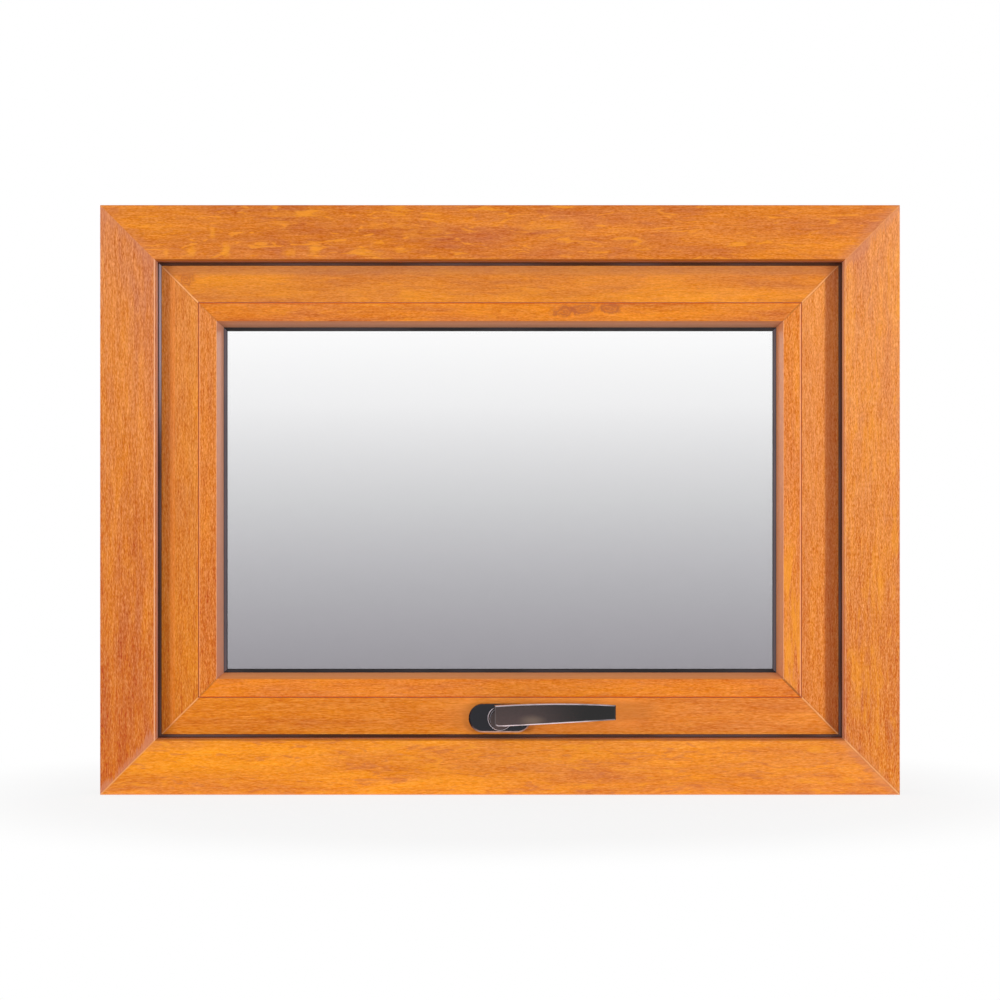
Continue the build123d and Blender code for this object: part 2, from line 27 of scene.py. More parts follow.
# The sockets of the Mix node that carry colours
MIX_FIRST, MIX_SECOND, MIX_RESULT = 6, 7, 2
# Nearly all values of a noise lie in this range
NOISE_RANGE = (0.3, 0.7)


def linear(red, green, blue):
    """A colour given in screen values from 0 to 255, as the shader wants it."""
    values = []
    for level in (red, green, blue):
        share = level / 255
        values.append(share / 12.92 if share <= 0.04045 else ((share + 0.055) / 1.055) ** 2.4)
    return tuple(values)


class Graph:
    """A node tree, built by short calls."""

    def __init__(self, owner, out_kind):
        owner.use_nodes = True
        self.owner = owner
        self.tree = owner.node_tree
        self.tree.nodes.clear()
        self.out = self.node(out_kind)

    def node(self, kind, **settings):
        made = self.tree.nodes.new("ShaderNode" + kind)
        for key, value in settings.items():
            setattr(made, key, value)
        return made

    def put(self, socket, value):
        if isinstance(value, bpy.types.NodeSocket):
            self.tree.links.new(value, socket)
        elif isinstance(value, tuple) and len(socket.default_value) == 4:
            socket.default_value = (*value, 1.0)
        else:
            socket.default_value = value

    def math(self, operation, first, second=0.0, clamp=False):
        made = self.node("Math", operation=operation, use_clamp=clamp)
        self.put(made.inputs[0], first)
        self.put(made.inputs[1], second)
        return made.outputs[0]

    def vector(self, operation, first, second):
        made = self.node("VectorMath", operation=operation)
        self.put(made.inputs[0], first)
        self.put(made.inputs[1], second)
        return made.outputs[0]

    def scaled(self, vector, amount):
        made = self.node("VectorMath", operation="SCALE")
        self.put(made.inputs[0], vector)
        self.put(made.inputs["Scale"], amount)
        return made.outputs[0]

    def product(self, *values):
        result = values[0]
        for value in values[1:]:
            result = self.math("MULTIPLY", result, value)
        return result

    def span(self, value, low, high, to_low=0.0, to_high=1.0, kind="SMOOTHSTEP"):
        """Map a value that goes from low to high to one that goes from to_low to to_high."""
        made = self.node("MapRange", interpolation_type=kind)
        for socket, amount in zip(made.inputs, (value, low, high, to_low, to_high)):
            self.put(socket, amount)
        return made.outputs[0]

    def blend(self, share, low, high):
        """Low where the share is 0, and high where it is 1."""
        return self.span(share, 0.0, 1.0, low, high, "LINEAR")

    def band(self, value, middle, half, soft):
        """1 within a half width of the middle, and 0 beyond a soft edge outside it."""
        away = self.math("ABSOLUTE", self.math("SUBTRACT", value, middle))
        return self.span(away, half + soft, half)

    def mix(self, factor, first, second):
        made = self.node("Mix", data_type="RGBA")
        self.put(made.inputs["Factor"], factor)
        self.put(made.inputs[MIX_FIRST], first)
        self.put(made.inputs[MIX_SECOND], second)
        return made.outputs[MIX_RESULT]

    def mix_shaders(self, factor, first, second):
        made = self.node("MixShader")
        for socket, value in zip(made.inputs, (factor, first, second)):
            self.put(socket, value)
        return made.outputs[0]

    def background_rays(self):
        """1 for the rays that see the white background, and 0 for those that light the object."""
        rays = self.node("LightPath").outputs
        seen = self.math("ADD", rays["Is Camera Ray"], rays["Is Glossy Ray"], clamp=True)
        return self.math("ADD", seen, rays["Is Transmission Ray"], clamp=True)

    def finish(self, shader):
        self.put(self.out.inputs["Surface"], shader)
        return self.owner


class Surface(Graph):
    """The node tree of one material, with the place of a point in the window's own frame."""

    def __init__(self, name):
        super().__init__(bpy.data.materials.new(name), "OutputMaterial")
        self.place = self.node("TexCoord").outputs["Object"]
        self.x, self.y, self.z = self.separated(self.place)

    def separated(self, vector):
        parts = self.node("SeparateXYZ")
        self.put(parts.inputs[0], vector)
        return parts.outputs

    def normals(self):
        return self.separated(self.node("TexCoord").outputs["Normal"])

    def stretched(self, scale, shift=(0.0, 0.0, 0.0), place=None):
        made = self.node("Mapping")
        self.put(made.inputs["Vector"], place or self.place)
        self.put(made.inputs["Scale"], scale)
        self.put(made.inputs["Location"], shift)
        return made.outputs[0]

    def noise(self, place, detail=1.0, roughness=0.5, distortion=0.0):
        made = self.node("TexNoise")
        self.put(made.inputs["Vector"], place)
        self.put(made.inputs["Scale"], 1.0)
        self.put(made.inputs["Detail"], detail)
        self.put(made.inputs["Roughness"], roughness)
        self.put(made.inputs["Distortion"], distortion)
        return made.outputs["Fac"]

    def even_noise(self, size, detail=2.0, shift=0.0):
        """A noise as fine in all directions, of so many cells a metre."""
        return self.noise(self.stretched((size, size, size), (shift, shift, shift)), detail)

    def spread(self, noise, low, high):
        """Map a noise evenly, so that its usual values go from low to high."""
        return self.span(noise, *NOISE_RANGE, low, high, "LINEAR")

    def insets(self):
        """How far a point is inward from the nearest jamb's outer edge, and from the head's or sill's."""
        from_side = self.math("SUBTRACT", WIDTH / 2, self.math("ABSOLUTE", self.x))
        from_end = self.math("MINIMUM", self.z, self.math("SUBTRACT", HEIGHT, self.z))
        return from_side, from_end

    def ellipse(self, x, z, half_x, half_z, ragged, size, seed):
        """0 at the middle of an ellipse on the window's face and 1 at its ragged edge."""
        across = self.math("DIVIDE", self.math("SUBTRACT", self.x, x), half_x)
        up = self.math("DIVIDE", self.math("SUBTRACT", self.z, z), half_z)
        squares = self.math("ADD", self.product(across, across), self.product(up, up))
        noise = self.even_noise(size, shift=seed)
        rags = self.product(self.math("SUBTRACT", noise, 0.5), ragged)
        return self.math("ADD", self.math("SQRT", squares), rags)

    def bump(self, height, strength, distance):
        made = self.node("Bump")
        self.put(made.inputs["Height"], height)
        self.put(made.inputs["Strength"], strength)
        self.put(made.inputs["Distance"], distance)
        return made.outputs[0]

    def principled(self, **inputs):
        made = self.node("BsdfPrincipled")
        for key, value in inputs.items():
            self.put(made.inputs[key.replace("_", " ")], value)
        return made.outputs[0]


def dress(node, material):
    """Give a CAD node its material."""
    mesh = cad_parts[node].data
    mesh.materials.clear()
    mesh.materials.append(material)
    for face in mesh.polygons:
        face.material_index = 0


# Wood-grain foil. Each member has its own mean colour and its own place in the pattern. Colours
# are screen values from 0 to 255, and strengths of tones are in levels of them. Fine fibres are
# only lighter or darker, and the broader streaks and clouds go from gold to mauve.
FIBRE_TONE = (0.75, 1.1, 1.25)
SHADE_TONE = (1.0, 1.0, 0.6)
STREAK_TONE = (1.0, 0.94, -0.1)
CLOUD_TONE = (1.0, 0.84, -0.5)
VEIL_TONE = (0.9, 0.8, -0.4)

GOLD = linear(243, 156, 36)
MAUVE = linear(190, 102, 66)
PORE = linear(150, 76, 34)
FLECK = linear(250, 166, 30)
KNOT = linear(176, 88, 46)
HAZE = linear(208, 132, 96)
WELD_LIGHT = linear(252, 186, 118)
WELD_SHADE = linear(168, 90, 52)
SEAM = linear(72, 26, 2)
# Painted highlight along the bead's seam on the uprights, and painted shade along it on the flats
UPRIGHT_GROOVE_HIGHLIGHT = linear(255, 140, 50)
FLAT_GROOVE_SHADE = linear(228, 92, 0)
# Painted highlight on rounded edges, and painted shade on the flats' rounded edge at the stop
EDGE_HIGHLIGHT = linear(245, 184, 146)
RIM_SHADE = linear(150, 74, 16)
# Painted shadow of the frame's stop on the sash, a painted lighter band at its edge, and a mauve painted
# shade under the head
STRIP_SHADE = linear(128, 36, 0)
STRIP_HIGHLIGHT = linear(255, 150, 60)
STRIP_MAUVE_SHADE = linear(172, 110, 84)
# Painted light that lifts the shadow around the handle
PAINTED_LIGHT_PATCH = linear(255, 154, 64)
BARE_PLASTIC = linear(126, 76, 42)
SHEEN_TINT = (1.0, 0.8, 0.75)

# What the gloss adds to a colour, and the darkest that a colour gets without it
GLOSS_SHARE = 0.024
DARKEST = 0.003

# The patterns of the grain are noises stretched along the member. Lengths and widths of their
# cells are in millimetres. Where two values stand in brackets, the first is for flat members and
# the second for upright ones. The strength names the value of a member's look that scales it.
Pattern = namedtuple(
    "Pattern", "lengths width seed detail bend strength tone levels", defaults=(None, None, None)
)
PATTERNS = {
    "fibre": Pattern((3.4, 2.8), 0.85, 0, 1.0, 0.3, "fine", FIBRE_TONE, (60.0, 92.0)),
    "thread": Pattern((9.0, 7.5), 0.9, 47, 2.0, 0.3, "fine", FIBRE_TONE, (48.0, 70.0)),
    "hair": Pattern((26.0, 26.0), 1.3, 5, 2.0, 0.2, "fine", FIBRE_TONE, (28.0, 42.0)),
    "line": Pattern((450.0, 450.0), 4.5, 43, 1.0, 0.1, "lines", STREAK_TONE, (1.0, 1.0)),
    "streak": Pattern((28.0, 50.0), 4.5, 11, 2.0, 0.6, "streaks", STREAK_TONE, (20.0, 24.0)),
    "cloud": Pattern((95.0, 95.0), 15.0, 17, 2.0, 0.8, "clouds", CLOUD_TONE, (44.0, 34.0)),
    "veil": Pattern((300.0, 300.0), 28.0, 31, 1.0, 0.4, "clouds", VEIL_TONE, (56.0, 40.0)),
    "shade": Pattern((160.0, 160.0), 24.0, 37, 1.0, 0.5, "clouds", SHADE_TONE, (36.0, 14.0)),
}
FLAME = Pattern((26.0, 38.0), 5.5, 29, 2.0, 1.0)
PORES = Pattern((3.4, 3.4), 0.6, 23, 1.0, 0.0)
MM_IN_METRE = 1000.0
GRAIN_ROUGHNESS = 0.55
SEED_SHIFT = (3.1, 1.7, 2.3)
WAVE_SCALE = (9.0, 9.0, 30.0)
FLAME_RANGE = (0.06, 0.2)
PORE_RANGE = (0.06, 0.18)
PORE_STRENGTH = 0.16
KNOT_RINGS = 13.0
ARCH_TOP = 0.024

# Places on a member, by how far inward from the frame's outer edge they are, in metres. A pair
# is where a soft edge starts and ends.
BEAD_SEAM = 0.0965
SEAM_HALF = 0.0004
SEAM_SOFT = 0.0004
LIP_SHIFT = 0.001
LIP_SOFT = 0.0003
BEAD_SLOPE = (0.1155, 0.1225)
RIM_SOFT = 0.0005
FOOT_INSET = (0.0012, 0.0006)
WALL_INSET = (0.0062, 0.0058)

# Places by their depth from the window's middle plane, in metres
ROOM_DEPTH = (0.0, -0.002)
WALL_DEPTH = (0.0248, 0.0242)

# How squarely a face turns to the room, from 0 to 1, where each kind of paint starts and ends
UPRIGHT_RIM = ((0.72, 0.84), (0.99, 0.955))
FLAT_RIM = (0.995, 0.9)
MATT_RIM = (0.97, 0.85)
FOOT_FACING = (0.15, 0.4)
STRIP_FACING = (0.3, 0.6)
SLOPE_FACING = ((0.5, 0.42), (0.2, 0.28))

# What is drawn along the diagonal of a corner: the value of the look that gives its strength at
# either end, its half width with the soft edge in metres, how strong it is, and its tone
CORNER_LINES = (
    ("welds", (0.002, 0.0007), 0.4, WELD_SHADE),
    ("welds", (0.0011, 0.0003), 0.85, WELD_LIGHT),
    ("seams", (0.0013, 0.0006), 0.95, SEAM),
)
HAZE_REACH = (0.009, 0.003)
HAZE_WOBBLE = 0.016
GROOVE_STRENGTH = 0.9

# The roughness of the foil from its smooth to its rough hairs, and of the bare plastic
HAIR_RANGE = (-0.25, 0.25)
FOIL_ROUGHNESS = (0.36, 0.48)
BARE_ROUGHNESS = 0.6


def change(mean, tone, levels):
    """A change by some levels of a tone, at a mean colour, as the shader wants it."""
    raised = linear(*(value + part for value, part in zip(mean, tone)))
    return tuple((high - low) * levels for low, high in zip(linear(*mean), raised))


class Foil(Surface):
    """The foil of one member: its grain, and what is painted over it."""

    def __init__(self, name, look):
        super().__init__(name)
        self.look = look
        self.from_side, self.from_end = self.insets()
        self.inward = self.math("MINIMUM", self.from_side, self.from_end)
        self.forward = self.product(self.normals()[1], -1.0)
        self.at_stop = self.band(self.inward, *look.rim_at, RIM_SOFT)
        if look.upright:
            position, half = self.math("SUBTRACT", self.z, HEIGHT / 2), HEIGHT / 2
        else:
            position, half = self.x, WIDTH / 2
        self.along = self.math("DIVIDE", position, half)
        self.high_end = self.math("GREATER_THAN", position, 0.0)
        self.colour = tuple(max(level - GLOSS_SHARE, DARKEST) for level in linear(*look.mean))

    def bent_place(self):
        """Where a point lies in the grain, whose lines wander and rise over an arch."""
        look = self.look
        if not look.wave and not look.arch:
            return self.place
        lift = 0.0
        if look.wave:
            slow = self.noise(self.stretched(WAVE_SCALE, (look.seed, 0.0, look.seed)), 1.0)
            lift = self.product(self.math("SUBTRACT", slow, 0.5), look.wave)
        if look.arch:
            middle, half, rise = look.arch
            away = self.math("DIVIDE", self.math("SUBTRACT", self.x, middle), half)
            bell = self.math("EXPONENT", self.product(away, away, -1.0))
            low = self.span(self.z, ARCH_TOP, 0.0)
            lift = self.math("SUBTRACT", lift, self.product(bell, low, rise))
        offset = self.node("CombineXYZ")
        self.put(offset.inputs["X" if look.upright else "Z"], lift)
        return self.vector("ADD", self.place, offset.outputs[0])

    def grain(self, pattern, place):
        """One pattern of the grain, as a value about 0. The look's long lengthens the fine ones."""
        look = self.look
        reach = look.long if pattern.strength == "fine" else 1.0
        long_way = MM_IN_METRE / (reach * pattern.lengths[look.upright])
        short_way = MM_IN_METRE / pattern.width
        if look.upright:
            scale = (short_way, short_way, long_way)
        else:
            scale = (long_way, short_way, short_way)
        shift = tuple((look.seed + pattern.seed) * step for step in SEED_SHIFT)
        place = self.stretched(scale, shift, place)
        value = self.noise(place, pattern.detail, GRAIN_ROUGHNESS, pattern.bend / reach)
        return self.math("SUBTRACT", value, 0.5)

    def shift_tone(self, tone, levels, value):
        """Move the colour by some levels of a tone, times a value."""
        moved = self.scaled(change(self.look.mean, tone, levels), value)
        self.colour = self.vector("ADD", self.colour, moved)

    def paint(self, tone, *factors):
        """Paint over the colour so far, as strongly as the product of the factors."""
        self.colour = self.mix(self.product(*factors), self.colour, tone)

    def lay_grain(self):
        look = self.look
        place = self.bent_place()
        self.layers = {kind: self.grain(pattern, place) for kind, pattern in PATTERNS.items()}
        for kind, pattern in PATTERNS.items():
            levels = getattr(look, pattern.strength) * pattern.levels[look.upright]
            self.shift_tone(pattern.tone, levels, self.layers[kind])
        # Painted light gradient: the member's right or upper end is lighter than its middle by its lift
        self.shift_tone(look.lift, 1.0, self.along)
        flame = self.grain(FLAME, place)
        low, high = FLAME_RANGE
        self.paint(GOLD, self.span(flame, low, high), look.gold)
        self.paint(MAUVE, self.span(flame, -low, -high), look.mauve)
        self.pores = self.span(self.grain(PORES, place), *PORE_RANGE)
        self.paint(PORE, self.pores, PORE_STRENGTH)

    def paint_spots(self):
        """Golden glows, golden flecks of quarter-sawn oak, and reddish knots with soft rings."""
        look = self.look
        for *spot, strength in look.glows:
            reach = self.ellipse(*spot, ragged=1.6, size=55.0, seed=look.seed + 7)
            striped = self.span(self.layers["streak"], -0.16, 0.12)
            self.paint(GOLD, self.span(reach, 1.1, 0.2), striped, strength)
        for *spot, strength in look.flecks:
            reach = self.ellipse(*spot, ragged=1.1, size=260.0, seed=look.seed)
            self.paint(FLECK, self.span(reach, 1.25, 0.1), strength)
        for *spot, strength in look.knots:
            reach = self.ellipse(*spot, ragged=1.7, size=170.0, seed=look.seed + 3)
            rings = self.math("SINE", self.product(reach, KNOT_RINGS))
            swirl = self.span(rings, -1.0, 1.0, 0.5, 1.0, "LINEAR")
            self.paint(KNOT, self.span(reach, 1.15, 0.7), swirl, strength)

    def paint_corners(self):
        """The haze and the weld's two lines at a mitred corner, or a bead's open seam."""
        look = self.look
        cloud = self.layers["cloud"]
        gap = self.math("SUBTRACT", self.from_end, self.from_side)
        away = self.math("ABSOLUTE", self.product(gap, math.sqrt(0.5)))
        if max(look.haze) > 0.0:
            wobble = self.product(self.math("ADD", self.layers["hair"], cloud), HAZE_WOBBLE)
            reach = self.math("ADD", away, wobble)
            level = self.blend(self.high_end, *look.haze)
            self.paint(HAZE, self.span(reach, *HAZE_REACH), level)
        broken = self.span(cloud, -0.12, 0.1, 0.55, 1.0)
        for ends, edge, amount, tone in CORNER_LINES:
            low, high = getattr(look, ends)
            if low or high:
                level = self.blend(self.high_end, low * amount, high * amount)
                self.paint(tone, self.span(away, *edge), level, broken)

    def paint_edges(self):
        """A painted highlight on an upright's rounded edge at the stop and painted shade on a flat's, a
        painted highlight on the sill's foot, strips of painted light and shade, and painted reflection
        and shade on a bead's slope.
        """
        look = self.look
        inward, forward = self.inward, self.forward
        # Painted highlight along an upright's rounded edge at the stop, and painted shade along a flat's
        if look.upright:
            rim = self.product(*(self.span(forward, *edge) for edge in UPRIGHT_RIM))
            rim_tone = EDGE_HIGHLIGHT
        else:
            rim = self.span(forward, *FLAT_RIM)
            rim_tone = RIM_SHADE
        self.paint(rim_tone, rim, self.at_stop, look.rim_light)
        # Painted highlight along the sill's outer bottom edge
        if look.foot_light:
            at_foot = self.product(self.span(inward, *FOOT_INSET), self.span(forward, *FOOT_FACING))
            self.paint(EDGE_HIGHLIGHT, at_foot, look.foot_light)
        # Painted shade and light: strips beside the frame's stop where its shadow falls on the sash
        for middle, half, soft, strength, tone in look.strips:
            inside = self.band(inward, middle, half, soft)
            self.paint(tone, inside, self.span(forward, *STRIP_FACING), strength)
        # Painted reflection and shade on a bead's slope: paler where a reflection falls, darker toward
        # the glass and in shade
        if look.slope:
            strength, near_face, near_glass = look.slope
            steep = self.product(*(self.span(forward, *edge) for edge in SLOPE_FACING))
            tone = self.mix(self.span(inward, *BEAD_SLOPE), linear(*near_face), linear(*near_glass))
            self.paint(tone, steep, strength)

    def paint_sides(self):
        """Painted light patches that lift the handle's shadow, painted light and shade at the bead's seam
        on the room side, and bare plastic on the wall side.
        """
        look = self.look
        room_side = self.span(self.y, *ROOM_DEPTH)
        # Painted light: paler ellipses on the room side around the handle, where its shadow falls
        for *spot, strength in look.polished:
            reach = self.ellipse(*spot, ragged=0.6, size=30.0, seed=look.seed + 2)
            self.paint(PAINTED_LIGHT_PATCH, self.span(reach, 1.15, 0.2), room_side, strength)
        # Painted highlight along the bead's seam on the uprights, and painted shade along it on the flats
        groove = self.band(self.inward, BEAD_SEAM, SEAM_HALF, SEAM_SOFT)
        groove_light_and_shade = UPRIGHT_GROOVE_HIGHLIGHT if look.upright else FLAT_GROOVE_SHADE
        self.paint(groove_light_and_shade, groove, room_side, GROOVE_STRENGTH)
        # Painted highlight on the bead's edge beside the seam
        if look.seam_light:
            lip_highlight = self.band(self.inward, BEAD_SEAM + LIP_SHIFT, SEAM_HALF, LIP_SOFT)
            self.paint(EDGE_HIGHLIGHT, lip_highlight, room_side, look.seam_light)
        self.wall_side = self.product(
            self.span(self.inward, *WALL_INSET),
            self.span(self.math("ABSOLUTE", self.y), *WALL_DEPTH),
        )
        self.paint(BARE_PLASTIC, self.wall_side)

    def shader(self):
        """Satin foil with the grain's relief, rougher on the wall side and on flats' edges."""
        look = self.look
        hair = self.layers["hair"]
        relief = self.math("ADD", self.product(hair, 0.7), self.product(self.pores, -0.5))
        relief = self.product(relief, self.math("SUBTRACT", 1.0, self.wall_side))
        rough = self.span(hair, *HAIR_RANGE, *FOIL_ROUGHNESS, "LINEAR")
        rough = self.math("MAXIMUM", rough, self.product(self.wall_side, BARE_ROUGHNESS))
        if not look.upright:
            matt_edge = self.product(self.at_stop, self.span(self.forward, *MATT_RIM))
            rough = self.math("MAXIMUM", rough, matt_edge)
        return self.principled(
            Base_Color=self.colour,
            Roughness=rough,
            Normal=self.bump(relief, 0.25, 0.0002),
            Specular_IOR_Level=0.2,
            Sheen_Weight=look.sheen,
            Sheen_Roughness=0.45,
            Sheen_Tint=SHEEN_TINT,
        )


def foil(name, look):
    made = Foil(name, look)
    made.lay_grain()
    made.paint_spots()
    made.paint_corners()
    made.paint_edges()
    made.paint_sides()
    return made.finish(made.shader())


# How a member's foil looks where MEMBERS doesn't say. Pairs are for its two ends: left and right,
# or bottom and top. Lift is how many levels its right or upper end is lighter than its middle: a
# painted light gradient. A glow, fleck, knot or painted light patch is an ellipse: its middle, its
# half sizes and its strength; the painted light patches lift the shadow around the handle. A strip
# of painted shade or light beside the frame's stop is how far inward its middle is, half its
# width, its soft edge, its strength and tone. An arch is its middle, its half width and its rise.
# A slope is painted reflection and shade on a bead's slope: its strength and its two tones. The
# rim light and shade is a painted highlight on an upright's rounded edge at the stop and painted
# shade on a flat's; foot light and seam light are painted highlights on the sill's foot and beside
# the bead's seam.
PLAIN_LOOK = dict(
    upright=False,
    fine=1.0,
    long=1.0,
    lines=9.0,
    streaks=1.0,
    clouds=1.0,
    gold=0.35,
    mauve=0.2,
    lift=(0.0, 0.0, 0.0),
    welds=(1.0, 1.0),
    seams=(0.0, 0.0),
    haze=(0.0, 0.0),
    wave=0.0,
    arch=None,
    glows=(),
    flecks=(),
    knots=(),
    strips=(),
    polished=(),
    rim_at=(0.055, 0.003),
    rim_light=0.0,
    foot_light=0.0,
    seam_light=0.0,
    slope=None,
)
BEAD_LOOK = dict(welds=(0.0, 0.0), rim_at=(0.1145, 0.0015))
FLAT_SHEEN = 0.3
UPRIGHT_SHEEN = 0.6
MEMBERS = {
    "frame_head": dict(
        mean=(216, 127, 60), seed=3.0, sheen=0.04, fine=0.94, clouds=0.9, gold=0.6, mauve=0.3,
        lift=(2, 1, 3), welds=(0.05, 0.25), haze=(0.1, 0.3), rim_light=0.8, wave=0.008,
        glows=(
            (-0.22, 0.577, 0.07, 0.012, 0.4), (-0.1, 0.562, 0.06, 0.016, 0.35),
            (0.05, 0.566, 0.05, 0.014, 0.35),
        ),
        flecks=(
            (-0.334, 0.5425, 0.0035, 0.0045, 0.35), (-0.309, 0.5435, 0.006, 0.0065, 0.45),
            (-0.2875, 0.562, 0.0035, 0.007, 0.35), (-0.274, 0.5455, 0.005, 0.008, 0.5),
            (-0.211, 0.5425, 0.008, 0.005, 0.35), (-0.185, 0.544, 0.007, 0.006, 0.35),
            (-0.13, 0.541, 0.016, 0.0035, 0.35),
        ),
    ),
    "frame_sill": dict(
        mean=(235, 145, 62), seed=8.0, sheen=0.12, fine=0.87, long=1.25, lines=14.0, clouds=1.1,
        gold=0.6, mauve=0.4, lift=(1, 1, 6), welds=(0.6, 0.9), haze=(0.0, 0.35), rim_light=0.5,
        foot_light=0.8, wave=0.005, arch=(0.196, 0.032, 0.009),
    ),
    "frame_left_jamb": dict(
        mean=(211, 124, 66), upright=True, seed=13.0, long=1.25, gold=0.15, mauve=0.15,
        lift=(7, 12, 15), welds=(0.6, 0.05), haze=(0.7, 0.35), rim_light=0.8,
    ),
    "frame_right_jamb": dict(
        mean=(227, 141, 75), upright=True, seed=19.0, sheen=0.45, fine=1.1, long=1.15, gold=0.4,
        mauve=0.2, lift=(6, 9, 14), welds=(0.95, 0.25), haze=(0.2, 0.5), rim_light=0.25, wave=0.006,
        glows=(
            (0.366, 0.1, 0.017, 0.045, 0.5), (0.376, 0.2, 0.012, 0.05, 0.35),
            (0.37, 0.36, 0.012, 0.06, 0.3),
        ),
    ),
    "sash_top_rail": dict(
        mean=(226, 139, 63), seed=24.0, fine=0.75, lines=16.0, clouds=0.7, lift=(4, 2, 0),
        welds=(1.0, 0.9), strips=((0.0615, 0.0035, 0.0065, 0.35, STRIP_MAUVE_SHADE),),
        knots=((-0.3165, 0.517, 0.0085, 0.0065, 0.55),),
    ),
    "sash_bottom_rail": dict(
        mean=(229, 137, 58), seed=31.0, long=1.6, streaks=0.7, clouds=0.5, gold=0.15, mauve=0.1,
        lift=(2, 2, 8),
        polished=(
            (0.045, 0.083, 0.13, 0.034, 0.4), (-0.031, 0.079, 0.015, 0.024, 0.6),
            (0.125, 0.084, 0.034, 0.02, 0.5),
        ),
    ),
    "sash_left_stile": dict(
        mean=(220, 135, 62), upright=True, seed=37.0, fine=0.95, long=1.3, streaks=0.8, clouds=0.5,
        gold=0.1, mauve=0.1, lift=(4, 8, 17), welds=(1.0, 1.2),
        strips=(
            (0.0645, 0.004, 0.003, 0.12, STRIP_SHADE), (0.0702, 0.0018, 0.0015, 0.35, STRIP_HIGHLIGHT),
        ),
    ),
    "sash_right_stile": dict(
        mean=(227, 141, 75), upright=True, seed=43.0, long=1.05, streaks=0.8, clouds=0.5,
        gold=0.1, mauve=0.1, lift=(8, 11, 10),
        strips=(
            (0.066, 0.0055, 0.003, 0.43, STRIP_SHADE), (0.0693, 0.0016, 0.002, 0.18, STRIP_SHADE),
        ),
    ),
    "bead_top": dict(
        mean=(221, 129, 57), seed=49.0, clouds=1.1, seams=(0.15, 0.3), wave=0.006,
        slope=(0.8, (186, 114, 66), (128, 92, 72)),
        knots=(
            (0.064, 0.4845, 0.013, 0.0055, 0.75), (0.086, 0.4875, 0.016, 0.005, 0.7),
            (0.111, 0.4875, 0.011, 0.0065, 0.75),
        ),
    ),
    "bead_bottom": dict(
        mean=(231, 135, 61), seed=53.0, sheen=0.1, long=1.2, clouds=0.7, gold=0.2,
        seams=(0.3, 0.9), slope=(0.7, (246, 160, 92), (222, 150, 108)),
    ),
    "bead_left": dict(
        mean=(219, 130, 64), upright=True, seed=59.0, clouds=0.6, gold=0.1, mauve=0.1,
        lift=(2, 7, 14), seams=(0.3, 0.15), slope=(0.8, (208, 142, 112), (195, 144, 122)),
        rim_light=0.9, seam_light=0.25,
    ),
    "bead_right": dict(
        mean=(227, 137, 71), upright=True, seed=61.0, sheen=0.3, clouds=0.6, gold=0.2, mauve=0.1,
        lift=(4, 3, -6), seams=(0.9, 0.3), slope=(0.6, (222, 144, 104), (180, 122, 92)),
        rim_light=0.8, seam_light=0.5, glows=((0.293, 0.17, 0.02, 0.12, 0.7),),
    ),
}
for node, values in MEMBERS.items():
    kind_look = BEAD_LOOK if node.startswith("bead") else {}
    look = SimpleNamespace(**{**PLAIN_LOOK, **kind_look, **values})
    if "sheen" not in values:
        look.sheen = UPRIGHT_SHEEN if look.upright else FLAT_SHEEN
    dress(node, foil(node + "_foil", look))


# Where the uprights' upper part softly starts, by its height, and a crown's soft edge, in metres
UPPER_PART = (0.32, 0.46)
CROWN_SOFT = 0.0008


def rubber(name, colour, rough=0.4, crown=None, sides=(0.1, 0.1), crown_highlight=None, gloss=0.2):
    """Seal rubber. The crown is how far inward its rounded edge runs, and half its width.

    It is paler there with a painted highlight, which varies a little along it: the first of the sides is
    for its upper left, the second for both uprights.
    """
    look = Surface(name)
    speckle = look.even_noise(900.0)
    tone = look.scaled(colour, look.spread(speckle, 0.75, 1.25))
    if crown:
        # Painted highlight: the crown is paler, most on the upper left and a little along both uprights,
        # varying at random
        from_side, from_end = look.insets()
        inward = look.math("MINIMUM", from_side, from_end)
        upright = look.math("LESS_THAN", from_side, from_end)
        left = look.math("LESS_THAN", look.x, 0.0)
        upper_left = look.product(left, look.span(look.z, *UPPER_PART), upright)
        amount = look.math("ADD", look.product(upper_left, sides[0]), look.product(upright, sides[1]))
        crown_highlight_wobble = look.span(look.even_noise(9.0), 0.4, 0.65, 0.02, 0.12)
        amount = look.math("ADD", amount, crown_highlight_wobble)
        tone = look.mix(look.product(look.band(inward, *crown, CROWN_SOFT), amount), tone, crown_highlight)
    return look.finish(look.principled(
        Base_Color=tone,
        Roughness=look.spread(speckle, rough - 0.06, rough + 0.06),
        Normal=look.bump(speckle, 0.1, 0.0001),
        Specular_IOR_Level=gloss,
    ))


BLACK_RUBBER = (0.008, 0.006, 0.006)
BROWN_BLACK_RUBBER = (0.06, 0.018, 0.005)
SEALANT = (0.012, 0.012, 0.013)
dress("frame_gasket", rubber(
    "frame_gasket_look", BROWN_BLACK_RUBBER, crown=(0.058, 0.0007), sides=(0.95, 0.03),
    crown_highlight=linear(176, 168, 182), gloss=0.08,
))
dress("inner_glazing_gasket", rubber(
    "glazing_gasket_look", BLACK_RUBBER, crown=(0.122, 0.0009), sides=(0.1, 0.55),
    crown_highlight=linear(132, 122, 132),
))
hidden_seal = rubber("hidden_gasket_look", BLACK_RUBBER)
dress("sash_gasket", hidden_seal)
dress("outer_glazing_gasket", hidden_seal)
dress("edge_seal", rubber("edge_sealant_look", SEALANT, rough=0.6))


